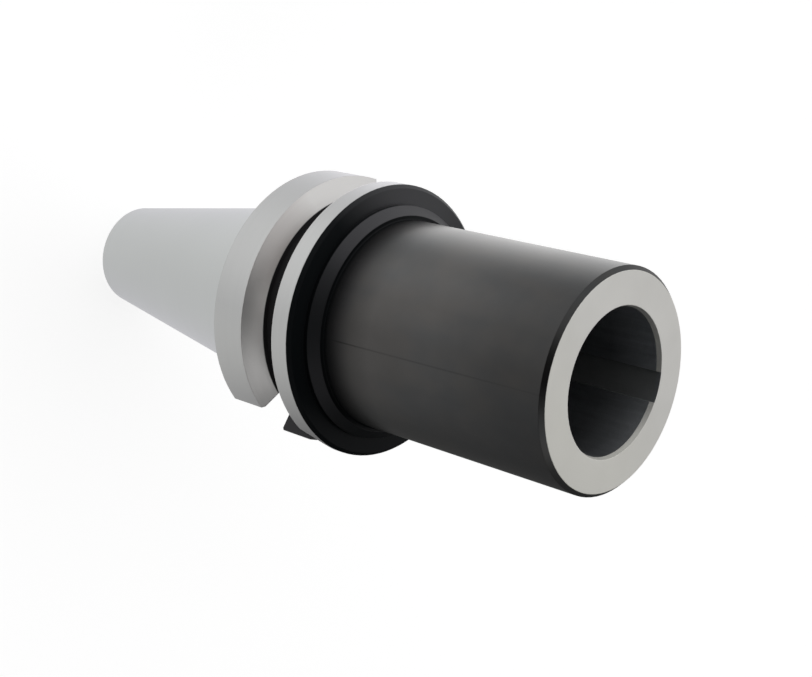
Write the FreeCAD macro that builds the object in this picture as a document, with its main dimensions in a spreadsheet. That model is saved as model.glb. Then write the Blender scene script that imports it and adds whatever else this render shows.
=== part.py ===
import FreeCAD, Part
import Sketcher
import os

# One-piece tool holder: a 7/24 taper shank with a V-groove flange and a number 4 Morse socket in its nose.
# Z runs along the axis from the small end of the shank (z = 0) to the nose; +X is the middle of one drive slot.

doc = FreeCAD.newDocument("holder")

# Driving dimensions in millimetres, or degrees where the name says angle.
DIMENSIONS = [
    ("gauge_d", 44.45, "shank diameter at the gauge plane"),
    ("shank_len", 65.4, "small end to gauge plane"),
    ("shank_rate", 0.2916667, "change of shank diameter per length, 7/24"),
    ("shank_break", 0.4, "edge break at the small end"),
    ("gauge_land", 0.5, "short land above the gauge plane"),
    ("undercut_depth", 0.725, "undercut behind the flange, below the gauge diameter"),
    ("flange_gap", 2.0, "gauge plane to rear face of the flange"),
    ("flange_d", 63.0, "flange diameter"),
    ("flange_len", 25.0, "rear face to front face of the flange"),
    ("rear_break", 0.5, "edge break at the rear face"),
    ("front_break", 0.8, "chamfer at the front face"),
    ("groove_pos", 16.6, "gauge plane to middle of the gripper groove"),
    ("groove_w", 10.0, "groove width at the flange diameter"),
    ("groove_depth", 5.0, "groove depth below the flange diameter"),
    ("flank_angle", 30.0, "groove flank to the flange faces"),
    ("slot_w", 16.1, "drive slot width"),
    ("slot_clear", 0.375, "slot floor above the gauge diameter"),
    ("slot_end", 25.2, "gauge plane to the far end of the slot"),
    ("slot_relief", 2.1, "extra width of the slot in the rear ring, on one side"),
    ("slot_bevel", 0.6, "bevel on the outer edge of that side"),
    ("collar_step", 1.0, "straight part of the collar"),
    ("collar_cone", 2.0, "45 degree part of the collar"),
    ("collar_ledge", 0.6, "flat ledge inside that cone"),
    ("root_r", 0.4, "radius where the nose meets the ledge"),
    ("nose_d", 48.0, "nose diameter"),
    ("gauge_len", 90.0, "gauge plane to nose face"),
    ("nose_break", 0.9, "chamfer at the nose face"),
    ("socket_d", 31.267, "socket diameter at the nose face"),
    ("socket_rate", 0.0519372, "change of socket diameter per length, 1/19.254"),
    ("mouth_break", 0.3665, "mouth chamfer, across the nose face"),
    ("mouth_len", 1.0, "mouth chamfer, along the axis"),
    ("socket_len", 107.0, "nose face to the socket floor"),
    ("relief_len", 5.6, "plain bore between the socket taper and its floor"),
    ("key_w", 6.5, "groove in the socket wall, width"),
    ("key_depth", 0.05, "round floor of that groove beyond the mouth chamfer"),
    ("key_len", 100.0, "length of that groove"),
    ("key_angle", 108.7, "angle of that groove from the drive slot"),
    ("passage_d", 17.0, "clearance bore below the socket floor"),
    ("passage_len", 13.4, "length of the clearance bore"),
    ("thread_d", 16.0, "thread for the pull stud, nominal"),
    ("pilot_d", 17.0, "pilot bore for the pull stud"),
    ("pilot_len", 5.0, "depth of the pilot bore"),
    ("pilot_break", 0.6, "edge break of the pilot bore"),
]

# Values worked out from the driving ones.
DERIVED = [
    ("flange_rear", "shank_len + flange_gap"),
    ("flange_front", "flange_rear + flange_len"),
    ("groove_mid", "shank_len + groove_pos"),
    ("groove_r", "flange_d / 2 - groove_depth"),
    ("groove_half", "groove_w / 2 - groove_depth * tan(flank_angle * 1 deg)"),
    ("ledge_r", "nose_d / 2 + root_r + collar_ledge"),
    ("undercut_r", "gauge_d / 2 - undercut_depth"),
    ("collar_top", "flange_front + collar_step + collar_cone"),
    ("nose_face", "shank_len + gauge_len"),
    ("shank_end_r", "(gauge_d - shank_len * shank_rate) / 2"),
    ("mouth_inner_r", "(socket_d - mouth_len * socket_rate) / 2"),
    ("socket_end_r", "(socket_d - (socket_len - relief_len) * socket_rate) / 2"),
    ("socket_floor", "nose_face - socket_len"),
    ("thread_top", "socket_floor - passage_len"),
    ("key_floor", "socket_d / 2 + mouth_break + key_depth"),
    ("slot_floor", "gauge_d / 2 + slot_clear"),
    ("slot_round", "shank_len + slot_end - slot_w / 2"),
    ("relief_y", "slot_w / 2 + slot_relief"),
    ("bevel_top", "sqrt((flange_d / 2) ^ 2 - (relief_y + slot_bevel) ^ 2)"),
    ("reach", "flange_d / 2 + 3"),
]

sheet = doc.addObject("Spreadsheet::Sheet", "dims")
NAMES = [name for name, _, _ in DIMENSIONS] + [name for name, _ in DERIVED]


def in_sheet(text):
    # Puts the sheet's name before every alias in an expression.
    out = ""
    word = ""
    for letter in text + " ":
        if letter.isalnum() or letter == "_":
            word += letter
        else:
            out += ("dims." + word if word in NAMES else word) + letter
            word = ""
    return out.strip()


row = 1
for name, value, note in DIMENSIONS:
    sheet.set("A%d" % row, name)
    sheet.set("B%d" % row, "%.7g" % value)
    sheet.set("C%d" % row, note)
    sheet.setAlias("B%d" % row, name)
    row += 1
for name, formula in DERIVED:
    sheet.set("A%d" % row, name)
    sheet.set("B%d" % row, "=" + formula)
    sheet.setAlias("B%d" % row, name)
    row += 1
doc.recompute()


def driven_polygon(label, points, placement, arcs=()):
    # A closed outline whose corners are held by the sheet; each point is (x formula, y formula), a leading minus
    # meaning that the corner lies on the negative side. arcs lists (side number, centre x formula).
    sketch = doc.addObject("Sketcher::SketchObject", label)
    sketch.Placement = placement
    places = []
    for x_text, y_text in points:
        pair = []
        for text in (x_text, y_text):
            negative = text.startswith("-")
            size = evaluate(text.lstrip("-"))
            pair.append(-size if negative else size)
        places.append(FreeCAD.Vector(pair[0], pair[1], 0))
    count = len(points)
    arc_sides = dict(arcs)
    for i in range(count):
        start = places[i]
        end = places[(i + 1) % count]
        if i in arc_sides:
            cx = evaluate(arc_sides[i])
            add_quarter_arc(sketch, start, end, cx)
        else:
            sketch.addGeometry(Part.LineSegment(start, end), False)
    for i in range(count):
        first_end = 1 if i in arc_sides else 2
        next_start = 2 if (i + 1) % count in arc_sides else 1
        sketch.addConstraint(Sketcher.Constraint("Coincident", i, first_end, (i + 1) % count, next_start))
    for i, (x_text, y_text) in enumerate(points):
        start = 2 if i in arc_sides else 1
        for kind, text in (("DistanceX", x_text), ("DistanceY", y_text)):
            size = evaluate(text.lstrip("-"))
            if text == "0":
                if kind == "DistanceX":
                    sketch.addConstraint(Sketcher.Constraint("PointOnObject", i, start, -2))
                else:
                    sketch.addConstraint(Sketcher.Constraint("PointOnObject", i, start, -1))
                continue
            if text.startswith("-"):
                number = sketch.addConstraint(Sketcher.Constraint(kind, i, start, -1, 1, size))
            else:
                number = sketch.addConstraint(Sketcher.Constraint(kind, -1, 1, i, start, size))
            sketch.setExpression("Constraints[%d]" % number, in_sheet(text.lstrip("-")))
    for i, cx_text in arc_sides.items():
        number = sketch.addConstraint(Sketcher.Constraint("DistanceX", -1, 1, i, 3, evaluate(cx_text)))
        sketch.setExpression("Constraints[%d]" % number, in_sheet(cx_text))
    return sketch


def add_quarter_arc(sketch, start, end, cx):
    # Quarter circle that curves inwards: it leaves start along x and reaches end along z, with its centre above start.
    centre = FreeCAD.Vector(cx, end.y, 0)
    radius = (start - centre).Length
    circle = Part.Circle(centre, FreeCAD.Vector(0, 0, 1), radius)
    half = circle.parameter(start)
    back = circle.parameter(end)
    sketch.addGeometry(Part.ArcOfCircle(circle, back, half), False)


def evaluate(text):
    return float(sheet.evalExpression(in_sheet(text)))


UPRIGHT = FreeCAD.Placement(FreeCAD.Vector(0, 0, 0), FreeCAD.Rotation(FreeCAD.Vector(1, 0, 0), 90))
FLAT = FreeCAD.Placement()

section = driven_polygon("section", [
    ("shank_end_r - shank_break", "0"),
    ("shank_end_r + shank_break * shank_rate / 2", "shank_break"),
    ("gauge_d / 2", "shank_len"),
    ("gauge_d / 2", "shank_len + gauge_land"),
    ("undercut_r", "shank_len + gauge_land"),
    ("undercut_r", "flange_rear"),
    ("flange_d / 2 - rear_break", "flange_rear"),
    ("flange_d / 2", "flange_rear + rear_break"),
    ("flange_d / 2", "groove_mid - groove_w / 2"),
    ("groove_r", "groove_mid - groove_half"),
    ("groove_r", "groove_mid + groove_half"),
    ("flange_d / 2", "groove_mid + groove_w / 2"),
    ("flange_d / 2", "flange_front - front_break"),
    ("flange_d / 2 - front_break", "flange_front"),
    ("ledge_r + collar_cone", "flange_front"),
    ("ledge_r + collar_cone", "flange_front + collar_step"),
    ("ledge_r", "collar_top"),
    ("nose_d / 2 + root_r", "collar_top"),
    ("nose_d / 2", "collar_top + root_r"),
    ("nose_d / 2", "nose_face - nose_break"),
    ("nose_d / 2 - nose_break", "nose_face"),
    ("socket_d / 2 + mouth_break", "nose_face"),
    ("mouth_inner_r", "nose_face - mouth_len"),
    ("socket_end_r", "socket_floor + relief_len"),
    ("socket_end_r", "socket_floor"),
    ("passage_d / 2", "socket_floor"),
    ("passage_d / 2", "thread_top"),
    ("thread_d / 2", "thread_top"),
    ("thread_d / 2", "pilot_len"),
    ("pilot_d / 2", "pilot_len"),
    ("pilot_d / 2", "pilot_break"),
    ("pilot_d / 2 + pilot_break", "0"),
], UPRIGHT, arcs=[(17, "nose_d / 2 + root_r")])

turned = doc.addObject("Part::Revolution", "turned")
turned.Source = section
turned.Axis = FreeCAD.Vector(0, 0, 1)
turned.Base = FreeCAD.Vector(0, 0, 0)
turned.Angle = 360
turned.Solid = True

# Drive slot on the +X side: wider on its -Y side across the rear ring, with a round end in the front ring.
slot_section = driven_polygon("slot_section", [
    ("slot_floor", "-relief_y"),
    ("bevel_top - slot_bevel", "-relief_y"),
    ("reach", "-(relief_y + reach - bevel_top + slot_bevel)"),
    ("reach", "slot_w / 2"),
    ("slot_floor", "slot_w / 2"),
], FLAT)
slot_section.setExpression("Placement.Base.z", in_sheet("flange_rear - 1"))
rear_slot = doc.addObject("Part::Extrusion", "rear_slot")
rear_slot.Base = slot_section
rear_slot.DirMode = "Custom"
rear_slot.Dir = FreeCAD.Vector(0, 0, 1)
rear_slot.Solid = True
rear_slot.setExpression("LengthFwd", in_sheet("groove_mid - flange_rear + 1"))

front_slot = doc.addObject("Part::Box", "front_slot")
front_slot.setExpression("Placement.Base.x", in_sheet("slot_floor"))
front_slot.setExpression("Placement.Base.y", in_sheet("-slot_w / 2"))
front_slot.setExpression("Placement.Base.z", in_sheet("flange_rear - 1"))
front_slot.setExpression("Length", in_sheet("reach - slot_floor"))
front_slot.setExpression("Width", in_sheet("slot_w"))
front_slot.setExpression("Height", in_sheet("slot_round - flange_rear + 1"))

slot_end = doc.addObject("Part::Cylinder", "slot_end_round")
slot_end.Placement = FreeCAD.Placement(FreeCAD.Vector(0, 0, 0), FreeCAD.Rotation(FreeCAD.Vector(0, 1, 0), 90))
slot_end.setExpression("Placement.Base.x", in_sheet("slot_floor"))
slot_end.setExpression("Placement.Base.z", in_sheet("slot_round"))
slot_end.setExpression("Radius", in_sheet("slot_w / 2"))
slot_end.setExpression("Height", in_sheet("reach - slot_floor"))

slot = doc.addObject("Part::MultiFuse", "slot")
slot.Shapes = [rear_slot, front_slot, slot_end]


def mirrored(label, source, normal):
    copy = doc.addObject("Part::Mirroring", label)
    copy.Source = source
    copy.Normal = normal
    copy.Base = FreeCAD.Vector(0, 0, 0)
    return copy


# Mirrored twice, the twin is the same slot turned half round the axis.
slot_across = mirrored("slot_across", slot, FreeCAD.Vector(1, 0, 0))
slot_twin = mirrored("slot_twin", slot_across, FreeCAD.Vector(0, 1, 0))

# Groove along the socket wall, with a round floor about the axis.
key_bar = doc.addObject("Part::Box", "key_bar")
key_bar.Placement = FreeCAD.Placement(FreeCAD.Vector(0, 0, 0), FreeCAD.Rotation(FreeCAD.Vector(0, 0, 1), evaluate("key_angle")))
key_bar.setExpression("Placement.Rotation.Angle", in_sheet("key_angle * 1 deg"))
key_bar.setExpression("Placement.Base.x", in_sheet("key_w / 2 * sin(key_angle * 1 deg)"))
key_bar.setExpression("Placement.Base.y", in_sheet("-key_w / 2 * cos(key_angle * 1 deg)"))
key_bar.setExpression("Placement.Base.z", in_sheet("nose_face - key_len"))
key_bar.setExpression("Length", in_sheet("key_floor + 1"))
key_bar.setExpression("Width", in_sheet("key_w"))
key_bar.setExpression("Height", in_sheet("key_len + 1"))
key_round = doc.addObject("Part::Cylinder", "key_round")
key_round.setExpression("Placement.Base.z", in_sheet("nose_face - key_len"))
key_round.setExpression("Radius", in_sheet("key_floor"))
key_round.setExpression("Height", in_sheet("key_len + 1"))
key_groove = doc.addObject("Part::MultiCommon", "key_groove")
key_groove.Shapes = [key_bar, key_round]

cutters = doc.addObject("Part::MultiFuse", "cutters")
cutters.Shapes = [slot, slot_twin, key_groove]
holder = doc.addObject("Part::Cut", "holder_body")
holder.Base = turned
holder.Tool = cutters
holder.Label = "holder_body"

doc.recompute()

bad = [o.Name for o in doc.Objects if "Invalid" in o.State or "Error" in o.State]
if bad:
    raise RuntimeError("not computed: " + ", ".join(bad))
shape = holder.Shape
if shape.isNull() or not shape.isValid() or len(shape.Solids) != 1:
    raise RuntimeError("the holder is not one valid solid")
os.makedirs("parts", exist_ok=True)
for part in (holder,):
    part.Shape.exportStep("parts/" + part.Label + ".step")
print("volume", round(shape.Volume, 1), "box", shape.BoundBox)
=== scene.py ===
import bpy
import bmesh
import math
from mathutils import Matrix, Vector


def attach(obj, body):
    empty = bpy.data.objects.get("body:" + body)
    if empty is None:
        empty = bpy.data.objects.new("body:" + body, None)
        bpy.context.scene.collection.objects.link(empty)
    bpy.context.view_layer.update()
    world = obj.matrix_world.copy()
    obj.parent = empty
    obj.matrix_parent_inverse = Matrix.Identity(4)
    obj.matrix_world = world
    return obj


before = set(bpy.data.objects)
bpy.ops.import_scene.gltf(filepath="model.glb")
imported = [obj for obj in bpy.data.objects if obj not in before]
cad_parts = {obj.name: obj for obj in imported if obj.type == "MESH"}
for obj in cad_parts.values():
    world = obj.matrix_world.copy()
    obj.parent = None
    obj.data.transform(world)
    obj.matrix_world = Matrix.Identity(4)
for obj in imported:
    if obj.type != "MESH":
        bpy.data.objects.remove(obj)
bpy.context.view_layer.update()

MM = 0.001

# Heights along the axis, in millimetres from the small end of the shank.
SOCKET_Z = 54.0
GAUGE_Z = 65.4
REAR_Z = 67.4
REAR_EDGE_Z = 77.0
GROOVE_Z = 82.0
FRONT_RING_Z = 87.0
FRONT_EDGE_Z = 91.6
COLLAR_Z = 93.4
LEDGE_Z = 95.4
ROOT_Z = 95.8
TAPER_Z = 154.4
NOSE_Z = 155.4

# Radii in millimetres.
FLANGE_R = 31.5
GROOVE_R = 26.5
LEDGE_R = 25.0
NOSE_R = 24.0
FACE_R = 23.1
MOUTH_R = 16.0
TAPER_R = 15.61
SHANK_INSIDE_R = 10.0

# How much the socket's radius grows for each millimetre toward its mouth.
TAPER_SLOPE = 0.026

# The drive slots: half their width, their one-sided relief, and how far from the middle plane they matter.
SLOT_HALF = 8.05
SLOT_RELIEF = 2.1
SLOT_START = 20.0

# The thread for the pull stud, in millimetres, and its steps to a turn.
THREAD_PITCH = 2.0
THREAD_MAJOR_R = 8.0
THREAD_MINOR_R = 6.92
THREAD_LOW_Z = 5.0
THREAD_HIGH_Z = 35.0
THREAD_STEPS = 56
THREAD_SINK = 0.02
ROOT_HALF = 0.88
CREST_HALF = 0.25

# Colours, as linear red, green and blue. A pair is two tones that a noise or a side blends; a side's blend
# is painted light and shade.
SHANK_STEEL = ((0.605, 0.622, 0.612), (0.635, 0.652, 0.642))
# Rim steel: the second, lighter tone toward one side is painted light.
RIM_STEEL_WITH_PAINTED_LIGHT = ((0.53, 0.535, 0.53), (0.62, 0.625, 0.61))
# Flank steel: the second, darker tone toward one side is painted shade.
FLANK_STEEL_WITH_PAINTED_SHADE = ((0.73, 0.72, 0.71), (0.55, 0.53, 0.52))
# Face steel: warm tones of its own, with the second, lighter tone toward one side as painted light.
FACE_STEEL_WITH_PAINTED_LIGHT = ((0.775, 0.768, 0.735), (0.845, 0.838, 0.785))
SOCKET_STEEL = (0.73, 0.76, 0.80)
OXIDE = ((0.0040, 0.0040, 0.0044), (0.0060, 0.0058, 0.0056))
FLANGE_OXIDE = (0.0072, 0.0090, 0.0100)
# A lighter oxide on one side of the nose's front edge.
FRONT_EDGE_OXIDE = (0.06, 0.06, 0.059)
FILM = (0.96, 0.94, 1.0)
NOSE_FILM = ((0.945, 0.968, 0.985), (1.0, 0.962, 0.925))
BLACK = (0.0, 0.0, 0.0)
WHITE = (1.0, 1.0, 1.0)

# Roughness, as a pair that a noise blends, and how much more or less single places have.
STEEL_ROUGHNESS = (0.34, 0.42)
OXIDE_ROUGHNESS = (0.46, 0.51)
GROUND_MORE = 0.12
MOUTH_MORE = 0.15
NOSE_LESS = 0.17

# Gloss of the oxide by place, as a specular level. A pair runs from one side or end to the other.
OXIDE_GLOSS = 0.45
# The groove's low gloss is painted shade in the recess.
GROOVE_PAINTED_SHADE_GLOSS = 0.20
# The ledge's low gloss is painted shade at the root of the nose.
LEDGE_PAINTED_SHADE_GLOSS = 0.10
# The flange's and the collar's gloss rises toward one side as a painted highlight.
FLANGE_PAINTED_HIGHLIGHT_GLOSS = (0.09, 0.74)
COLLAR_PAINTED_HIGHLIGHT_GLOSS = (0.50, 1.06)
# The nose's gloss is low at its root as painted shade.
NOSE_GLOSS_WITH_ROOT_SHADE = (0.24, 0.76)

# Shares that the gloss of the nose and the socket's colour, with its painted shade, are multiplied by.
FRONT_SHARE = 0.74
# The nose's gloss is raised on two sides as painted highlights.
LOW_SIDE_HIGHLIGHT_SHARE = 1.35
HIGH_SIDE_HIGHLIGHT_SHARE = 1.3
SCORE_SHARE = 0.5
PATCH_SHARES = (0.90, 1.10)
STREAK_SHARES = (0.88, 1.10)
# The socket's steel is darkened on one side and further in as painted shade.
SOCKET_PAINTED_SHADE_SHARE = 0.4
SOCKET_DEPTH_SHADE_SHARES = (0.5, 0.95)
IN_GROOVE_SHARE = 0.45

# The values between which most of a noise lies.
NOISE_SPAN = (0.3, 0.7)

# Turning marks and rounded edges, in metres.
MARK_STRENGTH = 0.12
MARK_DEPTH = 0.00004
EDGE_ROUND = 0.00016
ROOT_ROUND = 0.00002

# Sides in degrees round the axis, toward which the painted light and shade turn, the nose's front edge grows
# lighter and the score lies.
FLANGE_COLLAR_HIGHLIGHT_SIDE = 195.7
RIM_PAINTED_LIGHT_SIDE = 335.5
FLANK_PAINTED_SHADE_SIDE = 262.5
NOSE_LOW_SIDE = 355.5
NOSE_HIGH_SIDE = 240.5
SOCKET_PAINTED_LIGHT_SIDE = 115.5
SCORE_SIDE = 300.0

# The score along the nose: where it crosses its side's line, how it drifts, and its half width.
SCORE_Z = 114.4
SCORE_DRIFT = 0.0162
SCORE_HALF = 0.15

# Where the photograph was taken from: camera place and its right, up and back directions.
CAMERA_PLACE = Vector((0.062441, -0.254031, 0.325265))
VIEW_RIGHT = Vector((-0.403856, 0.554028, 0.727979))
VIEW_UP = Vector((-0.898327, -0.390604, -0.201090))
VIEW_BACK = Vector((0.172942, -0.735174, 0.655446))
LENS = 68.11
SENSOR_WIDTH = 36.0
CLIP = (0.01, 20.0)

# The studio, as metal mirrors it, in degrees round the axis and above the floor. It has a white wall on one
# side, a small soft box high on the other, and a floor that falls off on the dark side. A reach is the two
# cosines between which a light fades in. The floor's near and far edges are in metres from the axis.
WALL = (173.0, 13.3)
WALL_REACH = (0.10, 0.42)
WALL_TONE = (0.016, 0.864)
SOFT_BOX = (5.0, 45.0)
SOFT_BOX_REACH = (0.88, 1.0)
SOFT_BOX_TONE = (0.0, 0.72)
FLOOR_BRIGHT_SIDE = 139.0
FLOOR_DARK_SIDE = 70.0
FLOOR_STREAK_SIDE = 255.0
FLOOR_NEAR = (0.07, 0.113)
FLOOR_NEAR_TONE = 0.865
FLOOR_NEAR_TILT = 0.115
FLOOR_FAR = (0.2, 0.4)
FLOOR_FAR_SHARE = 0.3
FLOOR_HALF_SIZE = 4.0
FLOOR_DROP = 0.00002

# The camera sees the floor as a share of glow and the rest in daylight, which together come to white.
FLOOR_COLOUR = 0.8
FLOOR_GLOW = 1.53
FLOOR_GLOW_SHARE = 0.55
BACKGROUND = 1.0


def direction(turn, rise=0.0):
    turn = math.radians(turn)
    rise = math.radians(rise)
    return Vector((math.cos(turn) * math.cos(rise), math.sin(turn) * math.cos(rise), math.sin(rise)))


def add_object(name, data):
    piece = bpy.data.objects.new(name, data)
    bpy.context.collection.objects.link(piece)
    return piece


def make_camera():
    data = bpy.data.cameras.new("camera")
    data.sensor_fit = "HORIZONTAL"
    data.sensor_width = SENSOR_WIDTH
    data.lens = LENS
    data.clip_start, data.clip_end = CLIP
    camera = add_object("camera", data)
    turn = Matrix((VIEW_RIGHT, VIEW_UP, VIEW_BACK)).transposed()
    camera.matrix_world = Matrix.Translation(CAMERA_PLACE) @ turn.to_4x4()
    bpy.context.scene.camera = camera


class Nodes:
    """Short calls for building a node tree."""

    def __init__(self, tree):
        self.tree = tree
        tree.nodes.clear()

    def add(self, kind, **values):
        node = self.tree.nodes.new(kind)
        for key, value in values.items():
            setattr(node, key, value)
        return node

    def link(self, a, b):
        self.tree.links.new(a, b)

    def put(self, socket, value):
        if isinstance(value, bpy.types.NodeSocket):
            self.link(value, socket)
        elif isinstance(value, tuple):
            socket.default_value = (*value, 1.0)
        else:
            socket.default_value = value

    def math(self, operation, *values):
        node = self.add("ShaderNodeMath", operation=operation)
        for socket, value in zip(node.inputs, values):
            self.put(socket, value)
        return node.outputs[0]

    def ramp(self, value, low, high, start=0.0, end=1.0, smooth=False):
        node = self.add("ShaderNodeMapRange", interpolation_type="SMOOTHSTEP" if smooth else "LINEAR")
        for name, number in (("From Min", low), ("From Max", high), ("To Min", start), ("To Max", end)):
            node.inputs[name].default_value = number
        self.link(value, node.inputs["Value"])
        return node.outputs["Result"]

    def above(self, value, limit, soft=0.03):
        return self.ramp(value, limit - soft, limit + soft)

    def below(self, value, limit, soft=0.03):
        return self.ramp(value, limit - soft, limit + soft, 1.0, 0.0)

    def both(self, *parts):
        total = parts[0]
        for part in parts[1:]:
            total = self.math("MULTIPLY", total, part)
        return total

    def either(self, *parts):
        total = parts[0]
        for part in parts[1:]:
            total = self.math("MAXIMUM", total, part)
        return total

    def mix(self, factor, a, b):
        node = self.add("ShaderNodeMix", data_type="RGBA")
        for index, value in ((0, factor), (6, a), (7, b)):
            self.put(node.inputs[index], value)
        return node.outputs[2]

    def mix_number(self, factor, a, b):
        node = self.add("ShaderNodeMix", data_type="FLOAT")
        for index, value in ((0, factor), (2, a), (3, b)):
            self.put(node.inputs[index], value)
        return node.outputs[0]

    def split(self, vector):
        node = self.add("ShaderNodeSeparateXYZ")
        self.link(vector, node.inputs[0])
        return node.outputs

    def point(self, *values):
        node = self.add("ShaderNodeCombineXYZ")
        for socket, value in zip(node.inputs, values):
            self.put(socket, value)
        return node.outputs[0]

    def noise(self, vector, scale, detail, roughness):
        node = self.add("ShaderNodeTexNoise")
        self.link(vector, node.inputs["Vector"])
        node.inputs["Scale"].default_value = scale
        node.inputs["Detail"].default_value = detail
        node.inputs["Roughness"].default_value = roughness
        return node.outputs["Fac"]

    def scaled(self, vector, scale):
        node = self.add("ShaderNodeMapping")
        self.link(vector, node.inputs["Vector"])
        node.inputs["Scale"].default_value = scale
        return node.outputs["Vector"]


class Surface:
    """Where a point of the holder lies, in millimetres, which way it faces, and the noises of its finish."""

    def __init__(self, n):
        self.n = n
        coordinates = n.add("ShaderNodeTexCoord")
        place = coordinates.outputs["Object"]
        self.x, self.y, self.z = (n.math("MULTIPLY", value, 1.0 / MM) for value in n.split(place))
        self.r = n.math("SQRT", n.math("ADD", n.both(self.x, self.x), n.both(self.y, self.y)))
        self.up = n.split(coordinates.outputs["Normal"])[2]
        distance = n.math("MAXIMUM", self.r, 1.0)
        self.side_x = n.math("DIVIDE", self.x, distance)
        self.side_y = n.math("DIVIDE", self.y, distance)
        self.blotch = n.noise(place, 55.0, detail=4.0, roughness=0.55)
        self.cloud = n.noise(place, 18.0, detail=2.0, roughness=0.5)
        self.stain = n.noise(n.scaled(place, (48.0, 48.0, 30.0)), 1.0, detail=3.0, roughness=0.6)
        self.rings = n.noise(n.scaled(place, (60.0, 60.0, 9000.0)), 1.0, detail=3.0, roughness=0.6)
        face_place = n.point(n.math("MULTIPLY", self.r, 9.0), n.math("MULTIPLY", self.z, 2.0))
        self.face_rings = n.noise(face_place, 1.0, detail=3.0, roughness=0.6)
        around = (n.math("MULTIPLY", self.side_x, 9.0), n.math("MULTIPLY", self.side_y, 9.0))
        along = n.point(*around, n.math("MULTIPLY", self.z, 0.06))
        self.lengthwise = n.noise(along, 1.0, detail=4.0, roughness=0.65)

    def across(self, x, y, side):
        return self.n.math("ADD", self.n.math("MULTIPLY", x, side.x), self.n.math("MULTIPLY", y, side.y))

    def toward(self, degrees):
        return self.across(self.side_x, self.side_y, direction(degrees))


def rims_mask(n, s):
    # The two rings' rims, from the rear edge break to the front one.
    along = n.both(n.above(s.z, REAR_Z + 0.4), n.below(s.z, FRONT_EDGE_Z + 0.02))
    return n.both(along, n.above(s.r, FLANGE_R - 0.08))


def slot_mask(n, s):
    # The slots' walls stay oxide. Across the rear ring each slot is wider on one side.
    rear = n.below(s.z, GROOVE_Z)
    half_relief = SLOT_RELIEF / 2
    wide_side = n.both(n.math("SIGN", s.x), s.y)
    off_middle = n.math("ABSOLUTE", n.math("MULTIPLY_ADD", rear, half_relief, wide_side))
    reach = n.math("MULTIPLY_ADD", rear, half_relief, SLOT_HALF + 0.05)
    inside = n.below(n.math("SUBTRACT", off_middle, reach), 0.0)
    return n.both(inside, n.above(n.math("ABSOLUTE", s.x), SLOT_START))


def flanks_mask(n, s):
    # The two flanks of the gripper groove, which reach a little over their edges.
    slack = 0.08
    along = n.both(n.above(s.z, REAR_EDGE_Z - slack), n.below(s.z, FRONT_RING_Z + slack))
    outside_slot = n.math("SUBTRACT", 1.0, slot_mask(n, s))
    return n.both(n.above(s.r, GROOVE_R + 0.7, 0.08), along, outside_slot)


def face_mask(n, s):
    return n.both(n.above(s.z, TAPER_Z - 0.05), n.above(s.up, 0.2, 0.05), n.below(s.r, FACE_R + 0.02))


def socket_mask(n, s):
    # Steel on the taper, and a thinner look of it in the groove along the wall.
    taper_r = n.math("MULTIPLY_ADD", s.z, TAPER_SLOPE, TAPER_R - TAPER_Z * TAPER_SLOPE)
    off_taper = n.math("SUBTRACT", s.r, taper_r)
    near_taper = n.both(n.below(off_taper, 1.2), n.above(off_taper, -0.3))
    wall = n.both(n.above(s.z, SOCKET_Z), n.below(s.z, TAPER_Z), near_taper)
    wall = n.both(wall, n.mix_number(n.above(off_taper, 0.10), 1.0, IN_GROOVE_SHARE))
    end = n.both(n.above(s.z, TAPER_Z - 0.05), n.below(s.up, 0.2, 0.05), n.below(s.r, MOUTH_R + 0.2))
    shine = n.either(wall, n.math("MULTIPLY", end, IN_GROOVE_SHARE))
    return shine, n.either(shine, end)


def score_mask(n, s):
    # A fine score runs along the nose from its root and fades out toward the front.
    off = s.across(s.x, s.y, direction(SCORE_SIDE + 90.0))
    off = n.math("ADD", off, n.math("MULTIPLY_ADD", s.z, SCORE_DRIFT, -SCORE_DRIFT * SCORE_Z))
    line = n.below(n.math("ABSOLUTE", off), SCORE_HALF, 0.11)
    fade = n.both(n.ramp(s.z, 97.0, 150.0, 1.0, 0.25), n.above(s.z, 99.0, 1.5))
    patchy = n.ramp(s.blotch, 0.35, 0.6, 0.5, 1.0)
    return n.both(line, fade, patchy, n.above(s.toward(SCORE_SIDE), 0.5))


def steel_colour(n, s, rims, flanks, face, socket):
    steel = n.mix(n.ramp(s.cloud, 0.35, 0.65), *SHANK_STEEL)
    # The rims are lighter toward one side: painted light.
    steel = n.mix(rims, steel, n.mix(n.ramp(s.toward(RIM_PAINTED_LIGHT_SIDE), 0.75, 1.0), *RIM_STEEL_WITH_PAINTED_LIGHT))
    # The groove's flank is darker toward one side: painted shade.
    steel = n.mix(flanks, steel, n.mix(n.ramp(s.toward(FLANK_PAINTED_SHADE_SIDE), 0.9, 1.0), *FLANK_STEEL_WITH_PAINTED_SHADE))
    # The nose's face has its own warm tones and is lighter toward one side: painted light.
    steel = n.mix(face, steel, n.mix(n.ramp(s.toward(NOSE_LOW_SIDE), -0.2, 0.8), *FACE_STEEL_WITH_PAINTED_LIGHT))
    # The socket's steel has real lengthwise streaks, and painted shade that darkens it on one side and
    # further in.
    streaks = n.ramp(s.lengthwise, *NOISE_SPAN, *STREAK_SHARES)
    socket_shade_and_streaks = n.both(n.ramp(s.toward(SOCKET_PAINTED_LIGHT_SIDE), 0.0, 0.9, SOCKET_PAINTED_SHADE_SHARE, 1.0), streaks)
    socket_shade_and_streaks = n.both(socket_shade_and_streaks, n.ramp(s.z, 143.0, 153.0, *SOCKET_DEPTH_SHADE_SHARES))
    return n.mix(socket, steel, n.mix(socket_shade_and_streaks, BLACK, SOCKET_STEEL))


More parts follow.
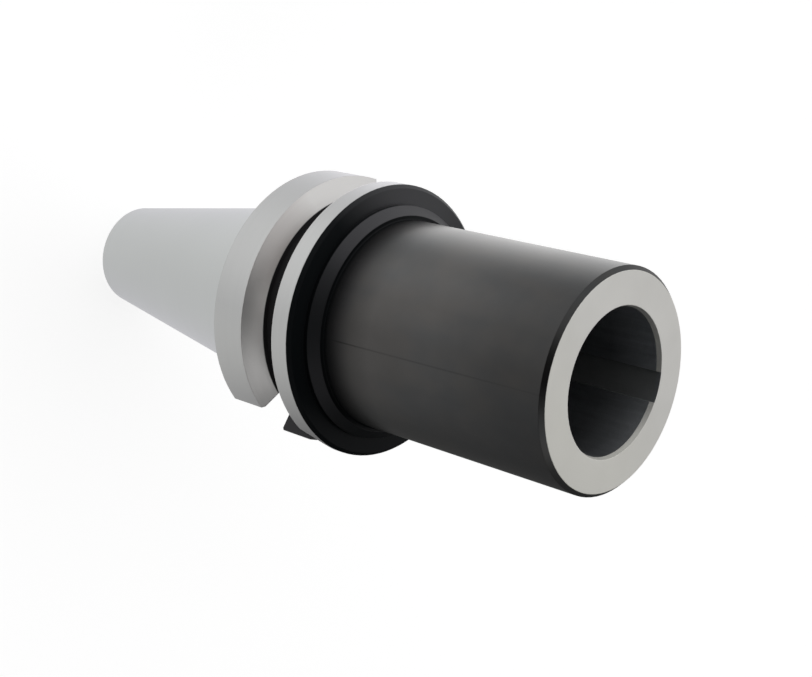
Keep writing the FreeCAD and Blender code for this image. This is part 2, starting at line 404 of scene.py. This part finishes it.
def oxide_colour(n, s, flange):
    oxide = n.mix(n.ramp(s.blotch, *NOISE_SPAN), *OXIDE)
    oxide = n.mix(flange, oxide, FLANGE_OXIDE)
    # The nose's front edge is lighter toward one side.
    edge = n.both(n.above(s.z, TAPER_Z + 0.05), n.above(s.r, FACE_R - 0.05), n.below(s.up, 0.95))
    lighter_edge = n.both(edge, n.ramp(s.toward(NOSE_LOW_SIDE), 0.45, 0.9))
    return n.mix(lighter_edge, oxide, FRONT_EDGE_OXIDE)


def roughness(n, s, bright, rims, face, socket, nose):
    mouth = n.both(face, n.below(s.z, NOSE_Z - 0.03), n.below(s.r, MOUTH_R + 0.1))
    steel = n.ramp(s.rings, *NOISE_SPAN, *STEEL_ROUGHNESS)
    for mask, more in ((face, GROUND_MORE), (mouth, MOUTH_MORE), (n.either(rims, socket), GROUND_MORE)):
        steel = n.math("MULTIPLY_ADD", mask, more, steel)
    oxide = n.math("MULTIPLY_ADD", nose, -NOSE_LESS, n.ramp(s.blotch, *NOISE_SPAN, *OXIDE_ROUGHNESS))
    return n.mix_number(bright, oxide, steel)


def oxide_gloss(n, s, flange):
    # The oxide's gloss is lowered in the groove, on the ledge and at the root of the nose as painted shade,
    # lowered toward the front except on one side, and raised toward some sides as painted highlights; its
    # patches and the score are its own.
    groove = n.both(n.above(s.z, 76.0, 1.0), n.below(s.z, 88.0, 1.0), n.below(s.r, 30.0))
    collar = n.both(n.above(s.z, COLLAR_Z - 0.1, 0.1), n.below(s.z, LEDGE_Z + 0.1, 0.1))
    collar = n.both(collar, n.above(s.r, LEDGE_R - 0.2, 0.1))
    ledge = n.both(n.above(s.z, LEDGE_Z - 0.1, 0.06), n.below(s.z, ROOT_Z + 0.4, 0.4))
    ledge = n.both(ledge, n.below(s.r, LEDGE_R - 0.05, 0.05))
    highlight_side = s.toward(FLANGE_COLLAR_HIGHLIGHT_SIDE)
    low_side = s.toward(NOSE_LOW_SIDE)
    front = n.mix_number(n.ramp(low_side, 0.85, 1.0), n.ramp(s.z, 125.0, 143.0, 1.0, FRONT_SHARE), 1.0)
    # Painted shade at the root of the nose, and painted highlights on two sides.
    nose = n.both(n.ramp(s.z, 97.0, 108.5, *NOSE_GLOSS_WITH_ROOT_SHADE), front)
    nose = n.both(nose, n.ramp(low_side, 0.75, 1.0, 1.0, LOW_SIDE_HIGHLIGHT_SHARE))
    nose = n.both(nose, n.ramp(s.toward(NOSE_HIGH_SIDE), 0.85, 1.0, 1.0, HIGH_SIDE_HIGHLIGHT_SHARE))
    nose = n.both(nose, n.ramp(s.blotch, *NOISE_SPAN, *PATCH_SHARES))
    nose = n.both(nose, n.ramp(s.stain, 0.35, 0.65, *PATCH_SHARES))
    nose = n.both(nose, n.mix_number(score_mask(n, s), 1.0, SCORE_SHARE))
    # Painted shade: lower gloss in the groove, and on the ledge below.
    gloss = n.mix_number(groove, OXIDE_GLOSS, GROOVE_PAINTED_SHADE_GLOSS)
    # The flange and the collar get a painted highlight toward one side.
    gloss = n.mix_number(flange, gloss, n.ramp(highlight_side, 0.6, 1.0, *FLANGE_PAINTED_HIGHLIGHT_GLOSS))
    gloss = n.mix_number(collar, gloss, n.ramp(highlight_side, 0.3, 1.0, *COLLAR_PAINTED_HIGHLIGHT_GLOSS))
    gloss = n.mix_number(n.above(s.z, ROOT_Z - 0.2, 0.4), gloss, nose)
    return n.mix_number(ledge, gloss, LEDGE_PAINTED_SHADE_GLOSS)


def relief(n, s):
    # Fine turning marks, on edges rounded a little except at the root of the nose.
    bump = n.add("ShaderNodeBump")
    bump.inputs["Strength"].default_value = MARK_STRENGTH
    bump.inputs["Distance"].default_value = MARK_DEPTH
    n.link(n.mix_number(n.above(s.up, 0.6, 0.1), s.rings, s.face_rings), bump.inputs["Height"])
    edge = n.add("ShaderNodeBevel", samples=6)
    root = n.both(n.above(s.z, 95.0, 0.2), n.below(s.z, 97.0, 0.5))
    n.link(n.mix_number(root, EDGE_ROUND, ROOT_ROUND), edge.inputs["Radius"])
    n.link(edge.outputs[0], bump.inputs["Normal"])
    return bump.outputs[0]


def holder_material():
    material = bpy.data.materials.new("holder_steel")
    material.use_nodes = True
    n = Nodes(material.node_tree)
    out = n.add("ShaderNodeOutputMaterial")
    shader = n.add("ShaderNodeBsdfPrincipled")
    n.link(shader.outputs[0], out.inputs[0])
    s = Surface(n)
    shank = n.both(n.below(s.z, GAUGE_Z + 0.45), n.above(s.r, SHANK_INSIDE_R, 0.3))
    rims = rims_mask(n, s)
    flanks = flanks_mask(n, s)
    face = face_mask(n, s)
    socket, in_socket = socket_mask(n, s)
    bright = n.either(shank, rims, flanks, face, socket)
    nose = n.both(n.above(s.z, 99.5, 3.5), n.above(s.r, NOSE_R - 1.2))
    flange = n.both(n.below(s.z, 96.0, 1.0), n.above(s.z, 91.5, 0.2))
    steel = steel_colour(n, s, rims, flanks, face, in_socket)
    nose_film = n.mix(n.ramp(s.stain, 0.42, 0.58), *NOSE_FILM)
    n.link(n.mix(bright, oxide_colour(n, s, flange), steel), shader.inputs["Base Color"])
    n.link(bright, shader.inputs["Metallic"])
    n.link(roughness(n, s, bright, rims, face, socket, nose), shader.inputs["Roughness"])
    n.link(oxide_gloss(n, s, flange), shader.inputs["Specular IOR Level"])
    n.link(n.mix(nose, FILM, nose_film), shader.inputs["Specular Tint"])
    n.link(relief(n, s), shader.inputs["Normal"])
    return material


def thread_ridges():
    # The thread as raised ridges on the plain wall: one trapezoid run along a helix, faded out at both ends.
    build = bmesh.new()
    rows = []
    count = int((THREAD_HIGH_Z - THREAD_LOW_Z) / THREAD_PITCH * THREAD_STEPS) + 1
    fade_steps = THREAD_STEPS * 0.5
    root = THREAD_MAJOR_R + THREAD_SINK
    for i in range(count):
        turn = 2 * math.pi * i / THREAD_STEPS
        middle = THREAD_LOW_Z + THREAD_PITCH * i / THREAD_STEPS
        fade = min(1.0, i / fade_steps, (count - 1 - i) / fade_steps)
        crest = THREAD_MAJOR_R - (THREAD_MAJOR_R - THREAD_MINOR_R) * fade
        section = ((root, -ROOT_HALF), (crest, -CREST_HALF), (crest, CREST_HALF), (root, ROOT_HALF))
        row = []
        for radius, offset in section:
            height = min(max(middle + offset, THREAD_LOW_Z), THREAD_HIGH_Z)
            place = Vector((radius * math.cos(turn), radius * math.sin(turn), height))
            row.append(build.verts.new(place * MM))
        rows.append(row)
    for first, second in zip(rows, rows[1:]):
        for k in range(4):
            following = (k + 1) % 4
            build.faces.new((first[k], first[following], second[following], second[k]))
    build.faces.new(rows[0])
    build.faces.new(rows[-1][::-1])
    bmesh.ops.recalc_face_normals(build, faces=build.faces)
    mesh = bpy.data.meshes.new("pull_stud_thread")
    build.to_mesh(mesh)
    build.free()
    return add_object("pull_stud_thread", mesh)


def floor_tone(n, x, y):
    """How bright metal mirrors the floor: even near the part, and falling off to one side further out."""
    away = n.math("SQRT", n.math("ADD", n.both(x, x), n.both(y, y)))

    def toward(degrees):
        side = direction(degrees)
        total = n.math("ADD", n.math("MULTIPLY", x, side.x), n.math("MULTIPLY", y, side.y))
        return n.math("DIVIDE", total, n.math("MAXIMUM", away, 0.001))

    bright_end = toward(FLOOR_BRIGHT_SIDE)
    near = n.math("MULTIPLY_ADD", bright_end, FLOOR_NEAR_TILT, FLOOR_NEAR_TONE)
    far = n.ramp(toward(FLOOR_DARK_SIDE), -0.65, 1.2, 0.95, 0.08, smooth=True)
    far = n.math("ADD", far, n.ramp(bright_end, 0.45, 1.28, 0.0, 1.76, smooth=True))
    far = n.math("ADD", far, n.ramp(toward(FLOOR_STREAK_SIDE), 0.72, 1.0, 0.0, 0.4, smooth=True))
    tone = n.mix_number(n.ramp(away, *FLOOR_NEAR, smooth=True), near, far)
    return n.both(tone, n.ramp(away, *FLOOR_FAR, 1.0, FLOOR_FAR_SHARE, smooth=True))


def floor_material():
    material = bpy.data.materials.new("floor_white")
    material.use_nodes = True
    material.cycles.emission_sampling = "NONE"
    n = Nodes(material.node_tree)
    out = n.add("ShaderNodeOutputMaterial")
    diffuse = n.add("ShaderNodeBsdfDiffuse")
    diffuse.inputs["Color"].default_value = (FLOOR_COLOUR, FLOOR_COLOUR, FLOOR_COLOUR, 1.0)
    glow = n.add("ShaderNodeEmission")
    x, y, _ = n.split(n.add("ShaderNodeNewGeometry").outputs["Position"])
    rays = n.add("ShaderNodeLightPath")
    seen = rays.outputs["Is Camera Ray"]
    mirrored = n.either(rays.outputs["Is Glossy Ray"], rays.outputs["Is Transmission Ray"])
    strength = n.math("ADD", n.math("MULTIPLY", seen, FLOOR_GLOW), n.both(mirrored, floor_tone(n, x, y)))
    n.link(strength, glow.inputs["Strength"])
    blend = n.add("ShaderNodeMixShader")
    n.link(n.math("MULTIPLY_ADD", seen, FLOOR_GLOW_SHARE, mirrored), blend.inputs[0])
    n.link(diffuse.outputs[0], blend.inputs[1])
    n.link(glow.outputs[0], blend.inputs[2])
    n.link(blend.outputs[0], out.inputs[0])
    return material


def make_floor():
    build = bmesh.new()
    bmesh.ops.create_grid(build, x_segments=1, y_segments=1, size=FLOOR_HALF_SIZE)
    mesh = bpy.data.meshes.new("floor")
    build.to_mesh(mesh)
    build.free()
    floor = add_object("floor", mesh)
    floor.location = (0.0, 0.0, -FLOOR_DROP)
    floor.data.materials.append(floor_material())


def make_world():
    world = bpy.data.worlds.new("studio")
    bpy.context.scene.world = world
    world.use_nodes = True
    n = Nodes(world.node_tree)
    out = n.add("ShaderNodeOutputWorld")
    back = n.add("ShaderNodeBackground")
    place = n.add("ShaderNodeTexCoord").outputs["Generated"]

    def along(line):
        node = n.add("ShaderNodeVectorMath", operation="DOT_PRODUCT")
        n.link(place, node.inputs[0])
        node.inputs[1].default_value = direction(*line)
        return node.outputs["Value"]

    wall = n.ramp(along(WALL), *WALL_REACH, *WALL_TONE, smooth=True)
    box = n.ramp(along(SOFT_BOX), *SOFT_BOX_REACH, *SOFT_BOX_TONE, smooth=True)
    seen = n.add("ShaderNodeLightPath").outputs["Is Camera Ray"]
    n.put(back.inputs["Color"], WHITE)
    n.link(n.mix_number(seen, n.math("ADD", wall, box), BACKGROUND), back.inputs["Strength"])
    n.link(back.outputs[0], out.inputs[0])


make_camera()
steel = holder_material()
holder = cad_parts["holder_body"]
holder.data.materials.clear()
holder.data.materials.append(steel)
thread = thread_ridges()
thread.data.materials.append(steel)
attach(thread, "root")

make_floor()
make_world()

bpy.context.scene.view_settings.view_transform = "Standard"
